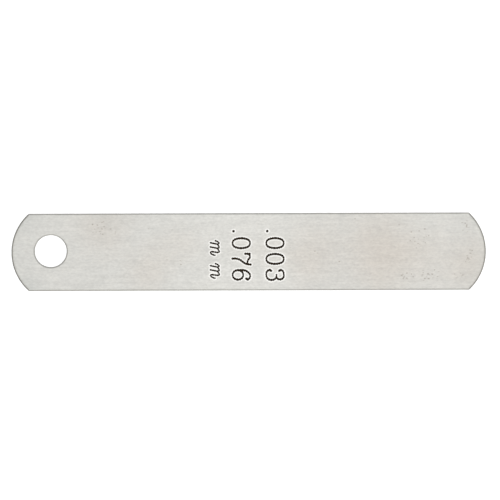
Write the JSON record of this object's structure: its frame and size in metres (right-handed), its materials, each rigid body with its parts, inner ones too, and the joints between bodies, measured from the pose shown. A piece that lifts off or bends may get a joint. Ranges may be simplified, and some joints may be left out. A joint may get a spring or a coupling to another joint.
{
  "type": "feeler gauge leaf",
  "caption": "Thin flat spring-steel feeler gauge leaf with rounded ends, a carrying hole near one end and its thickness etched across one face.",
  "frame": {"origin": "centre of the carrying hole on the leaf's lower face, which is the surface it lies on", "axes": "+X along the leaf to its free measuring end, +Y across the leaf, +Z along the hole's axis and out of the marked face; the marking reads along -Y with its letters standing up along +X"},
  "size_m": [0.0782, 0.0127, 0.0001],
  "materials": {
    "spring_steel": "bright cold-rolled, satin, with a fine lengthwise grain",
    "etch_fill": "matt black etched marking"
  },
  "bodies": {
    "root": {"leaf": "spring_steel", "inch_size_marking": "etch_fill", "metric_size_marking": "etch_fill", "unit_marking": "etch_fill"}
  },
  "joints": []
}
